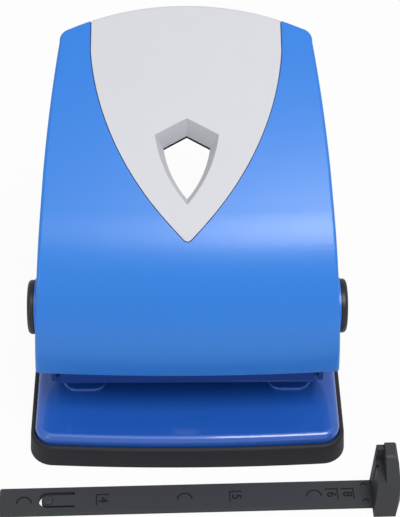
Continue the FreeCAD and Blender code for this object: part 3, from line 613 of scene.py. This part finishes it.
@dataclass
class HandleUnit(DressedUnit):
    """Lever with its shell, inlay, panel, carrier and press bar."""

    finishes: dict[str, Finish] = field(default_factory=lambda: {
        "handle_shell": BLUE_MOULDING,
        "handle_inlay": GREY_MOULDING,
        "handle_underpanel": BLACK_MOULDING,
        "lever_carrier": ZINC,
        "carrier_screws": ZINC,
        "press_bar": TURNED_STEEL,
        "press_bar_clips": SPRING_WIRE,
    })


@dataclass
class PunchUnit:
    """One punch with its collar, its clip and the coil that lifts it."""

    side: str
    body: str = "base"
    slot: str = "spring_steel"
    wire: float = 0.9 * MILLIMETRE
    coil_radius: float = 4.0 * MILLIMETRE
    turns: int = 4
    steps_per_turn: int = 26
    section_corners: int = 12
    smooth_angle: float = math.radians(40.0)

    def coil(self) -> None:
        """Wind the return spring at its full length and hide the fixed one."""
        node = "return_spring_" + self.side
        lowest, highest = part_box(node)
        height = highest.z - lowest.z
        middle = (lowest + highest) / 2
        Bench.deselect()
        bpy.ops.mesh.primitive_circle_add(vertices=self.section_corners, radius=self.wire / 2,
                                          rotation=(math.pi / 2, 0.0, 0.0))
        piece = Bench.active("return_coil_" + self.side)
        Bench.settle(piece, shifted(self.coil_radius, 0.0, 0.0))
        Bench.finish_modifier(piece, "SCREW", axis="Z", angle=2 * math.pi,
                              screw_offset=(height - self.wire) / self.turns,
                              iterations=self.turns, steps=self.steps_per_turn)
        Bench.mend(piece, capped=True)
        bpy.ops.object.shade_smooth_by_angle(angle=self.smooth_angle)
        Bench.settle(piece, shifted(middle.x, middle.y, lowest.z + self.wire / 2))
        Bench.carry(piece, self.body, self.slot, SPRING_WIRE)
        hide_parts(node)
        slide_name = f"punch_{self.side}_slide"
        slide = next(joint for joint in frame["joints"] if joint["name"] == slide_name)
        keep = 1 - max(slide["range_m"]) / height
        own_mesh(piece)

    def build(self) -> None:
        """Dress the pieces that slide with this punch and wind its spring."""
        dress("punch_pin_" + self.side, GROUND_STEEL)
        dress("spring_collar_" + self.side, ZINC)
        dress("punch_clip_" + self.side, SPRING_WIRE)
        self.coil()


@dataclass
class PaperGuide:
    """Drawn-out guide bar with its raised format marks."""

    body: str = "paper_guide"
    slot: str = "guide_plastic"
    bar_top: float = 2.2 * MILLIMETRE
    turn: float = math.radians(1.29)
    centre_line_start: Point = (-64.6 * MILLIMETRE, -61.3 * MILLIMETRE, 0.0)
    relief: float = 0.16 * MILLIMETRE
    sunk: float = 0.1 * MILLIMETRE
    edge_share: float = 1 / 3
    edge_segments: int = 2
    digit_height: float = 4.6 * MILLIMETRE
    digit_shift: float = -0.6 * MILLIMETRE
    digit_turn: float = -math.pi / 2
    rule_length: float = 4.6 * MILLIMETRE
    rule_width: float = 0.34 * MILLIMETRE
    rule_gap: float = 2.2 * MILLIMETRE
    rule_rear: float = 1.9 * MILLIMETRE
    tick_length: float = 4.1 * MILLIMETRE
    arc_steps: int = 14
    grip_radius: float = 2.5 * MILLIMETRE
    grip_width: float = 0.42 * MILLIMETRE
    grip_drop: float = -1.1 * MILLIMETRE
    grips: tuple[float, ...] = (8.4 * MILLIMETRE, 63.4 * MILLIMETRE, 107.9 * MILLIMETRE)
    stud_along: float = 125.3 * MILLIMETRE
    stud_radius: float = 0.95 * MILLIMETRE
    stud_width: float = 0.34 * MILLIMETRE
    studs: tuple[float, ...] = (2.9 * MILLIMETRE, -3.9 * MILLIMETRE)
    marks: dict[str, tuple[float, int]] = field(default_factory=lambda: {
        "4": (35.4 * MILLIMETRE, -1),
        "5": (81.1 * MILLIMETRE, -1),
        "6": (113.8 * MILLIMETRE, 1),
        "8": (119.3 * MILLIMETRE, 1),
    })

    def place(self, along: float) -> Matrix:
        """Frame on the bar's top face at a distance from its left end.

        Args:
            along: Distance from the bar's left end.

        Returns:
            Matrix from the bar's own axes to the row frame.
        """
        start = shifted(*self.centre_line_start)
        return start @ turned(self.turn) @ shifted(along, 0.0, self.bar_top)

    def soften(self, piece: bpy.types.Object) -> None:
        """Round a mark's edges a little."""
        Bench.finish_modifier(piece, "BEVEL", width=self.relief * self.edge_share,
                              segments=self.edge_segments, limit_method="ANGLE")

    def set_on_bar(self, piece: bpy.types.Object, along: float, beside: float, across: float,
                   turn: float = 0.0) -> None:
        """Sink a mark's foot into the bar and let it ride there.

        Args:
            piece: Mesh object, level with its own middle.
            along: Distance from the bar's left end.
            beside: Further distance along the bar.
            across: Distance from the bar's centre line.
            turn: Turn on the bar.
        """
        raised = shifted(beside, across, (self.relief - self.sunk) / 2)
        Bench.settle(piece, self.place(along) @ raised @ turned(turn))
        # The marks' darker colour is painted shade round their relief.
        Bench.carry(piece, self.body, self.slot, GUIDE_MARKS_PAINTED_SHADE)

    def digit(self, figure: str, along: float) -> None:
        """Raised figure, turned to read from the bar's end.

        Args:
            figure: The character.
            along: Distance from the bar's left end.
        """
        Bench.deselect()
        bpy.ops.object.text_add(location=(0.0, 0.0, 0.0))
        text = bpy.context.view_layer.objects.active.data
        text.body = figure
        text.size = self.digit_height
        text.align_x = "CENTER"
        text.align_y = "CENTER"
        text.extrude = (self.relief + self.sunk) / 2
        bpy.ops.object.convert(target="MESH")
        piece = Bench.active("format_figure_" + figure)
        self.set_on_bar(piece, along, 0.0, self.digit_shift, self.digit_turn)

    def rule(self, figure: str, along: float, side: int) -> None:
        """Thin rule beside a figure, with its long arm behind the figure.

        Args:
            figure: The character that the rule belongs to.
            along: Distance from the bar's left end.
            side: 1 where the rule stands right of its figure, -1 where left.
        """
        Bench.deselect()
        bpy.ops.mesh.primitive_cube_add(size=1.0)
        piece = Bench.active("format_rule_" + figure)
        piece.scale = (self.rule_width, self.rule_length, self.relief + self.sunk)
        Bench.keep_place(piece)
        arm_low = self.rule_length / 2 - self.rule_width
        Bench.edit_all(piece)
        bpy.ops.mesh.bisect(plane_co=(0.0, arm_low, 0.0), plane_no=(0.0, 1.0, 0.0))
        Bench.edit_faces(piece, lambda centre, normal: (
            -side * normal.x > FACING and centre.y > arm_low))
        arm = (-side * self.tick_length, 0.0, 0.0)
        bpy.ops.mesh.extrude_region_move(TRANSFORM_OT_translate={"value": arm})
        self.soften(piece)
        self.set_on_bar(piece, along, side * self.rule_gap,
                        self.rule_rear - self.rule_length / 2)

    def bow(self, name: str, along: float, across: float, radius: float, width: float) -> None:
        """Low half-round rib, swept in edit mode from one flat face.

        Args:
            name: Name of the piece.
            along: Distance of the bow's middle from the bar's left end.
            across: Distance of its middle from the bar's centre line.
            radius: Radius of the bow.
            width: Width of the rib.
        """
        Bench.deselect()
        bpy.ops.mesh.primitive_plane_add(size=1.0, rotation=(math.pi / 2, 0.0, 0.0))
        piece = Bench.active(name)
        piece.scale = (width, self.relief + self.sunk, 1.0)
        piece.location = (radius, 0.0, 0.0)
        Bench.keep_place(piece)
        Bench.edit_all(piece)
        bpy.ops.mesh.spin(steps=self.arc_steps, angle=math.pi, center=(0.0, 0.0, 0.0),
                          axis=(0.0, 0.0, 1.0))
        Bench.mend(piece)
        if max(vertex.co.y for vertex in piece.data.vertices) < radius / 2:
            Bench.settle(piece, turned(math.pi))
        self.soften(piece)
        self.set_on_bar(piece, along, 0.0, across)

    def build(self) -> None:
        """Dress the bar and set its marks, grip bows and studs."""
        dress("paper_guide", GUIDE_MOULDING)
        for figure, (along, side) in self.marks.items():
            self.digit(figure, along)
            self.rule(figure, along, side)
        for index, along in enumerate(self.grips):
            self.bow(f"grip_bow_{index}", along, self.grip_drop, self.grip_radius,
                     self.grip_width)
        for index, across in enumerate(self.studs):
            self.bow(f"stud_bow_{index}", self.stud_along, across, self.stud_radius,
                     self.stud_width)


@dataclass
class SoftBox:
    """One plain white area lamp."""

    name: str
    place: Point
    aim: Point
    width: float
    depth: float
    power: float

    def build(self) -> None:
        """Hang the lamp and turn it to its aim."""
        data = bpy.data.lights.new(self.name, "AREA")
        data.shape = "RECTANGLE"
        data.size = self.width
        data.size_y = self.depth
        data.energy = self.power
        lamp = bpy.data.objects.new(self.name, data)
        lamp.location = self.place
        heading = Vector(self.aim) - Vector(self.place)
        lamp.rotation_euler = heading.to_track_quat("-Z", "Y").to_euler()
        bpy.context.scene.collection.objects.link(lamp)


@dataclass
class Viewpoint:
    """Camera that stands where the photograph was taken from."""

    target: Point = (4.58 * MILLIMETRE, 6.44 * MILLIMETRE, 51.5 * MILLIMETRE)
    distance: float = 0.56
    azimuth: float = math.radians(-1.35)
    elevation: float = math.radians(45.0)
    roll: float = math.radians(0.72)
    focal_px: float = 1596.0
    image_height_px: float = 517.0
    sensor_mm: float = 36.0
    clip_end: float = 20.0

    def build(self) -> None:
        """Set the scene's camera."""
        data = bpy.data.cameras.new("viewpoint")
        data.sensor_width = self.sensor_mm
        data.lens = self.focal_px / self.image_height_px * self.sensor_mm
        data.clip_end = self.clip_end
        camera = bpy.data.objects.new("viewpoint", data)
        level = math.cos(self.elevation)
        back = Vector((math.sin(self.azimuth) * level, -math.cos(self.azimuth) * level,
                       math.sin(self.elevation)))
        camera.location = Vector(self.target) + back * self.distance
        aim = (-back).to_track_quat("-Z", "Y").to_matrix().to_4x4()
        camera.rotation_euler = (aim @ turned(self.roll)).to_euler()
        bpy.context.scene.collection.objects.link(camera)
        bpy.context.scene.camera = camera


@dataclass
class Studio:
    """Plain pale floor, soft lamps and a white surround."""

    floor_size: float = 8.0
    floor_colour: Colour = (0.7, 0.7, 0.71)
    seen_white_share: float = 0.94
    ambient: float = 0.57
    lamps: list[SoftBox] = field(default_factory=lambda: [
        SoftBox("key", place=(0.3, -0.33, 1.15), aim=(0.3, -0.2, 0.05),
                width=0.5, depth=0.6, power=8.6),
        SoftBox("left", place=(-0.3, -0.33, 1.15), aim=(-0.3, -0.2, 0.05),
                width=0.5, depth=0.6, power=0.7),
        SoftBox("front_fill", place=(-0.9, -1.1, 0.7), aim=(0.0, 0.0, 0.05),
                width=0.5, depth=0.5, power=1.6),
    ])

    @staticmethod
    def seen(graph: Graph) -> Signal:
        """One for what the camera sees, straight or through glass, else zero."""
        names = ("Is Camera Ray", "Is Transmission Ray")
        rays = [graph.node("ShaderNodeLightPath", output=name) for name in names]
        return rays[0] + rays[1]

    def floor(self) -> None:
        """Lay the pale floor, which keeps the object's shadow."""
        Bench.deselect()
        bpy.ops.mesh.primitive_plane_add(size=self.floor_size)
        plane = Bench.active("floor")
        paint = bpy.data.materials.new("pale_floor")
        paint.use_nodes = True
        graph = Graph(paint.node_tree)
        matt = graph.node("ShaderNodeBsdfDiffuse", inputs={"Color": self.floor_colour})
        white = graph.node("ShaderNodeEmission", inputs={"Color": WHITE, "Strength": 1.0})
        share = self.seen(graph) * self.seen_white_share
        graph.close(graph.node("ShaderNodeMixShader", inputs={0: share, 1: matt, 2: white}))
        plane.data.materials.append(paint)

    def surround(self) -> None:
        """Light the scene from all round and show white where nothing stands."""
        world = bpy.data.worlds.new("surround")
        bpy.context.scene.world = world
        world.use_nodes = True
        graph = Graph(world.node_tree)
        strength = self.ambient + self.seen(graph) * (1 - self.ambient)
        light = graph.node("ShaderNodeBackground", inputs={"Color": WHITE, "Strength": strength})
        graph.close(light, "ShaderNodeOutputWorld")

    def build(self) -> None:
        """Set up floor, surround, lamps and the plain view transform."""
        bpy.context.scene.view_settings.view_transform = "Standard"
        self.floor()
        self.surround()
        for lamp in self.lamps:
            lamp.build()


def main() -> None:
    """Build the dressed part and its studio."""
    logging.basicConfig(level=logging.INFO)
    units = [BaseUnit(), HandleUnit(), PunchUnit("right"), PunchUnit("left"), PaperGuide()]
    for unit in units:
        unit.build()
        log.info("finished %s", type(unit).__name__)
    Studio().build()
    Viewpoint().build()


if __name__ == "__main__":
    main()
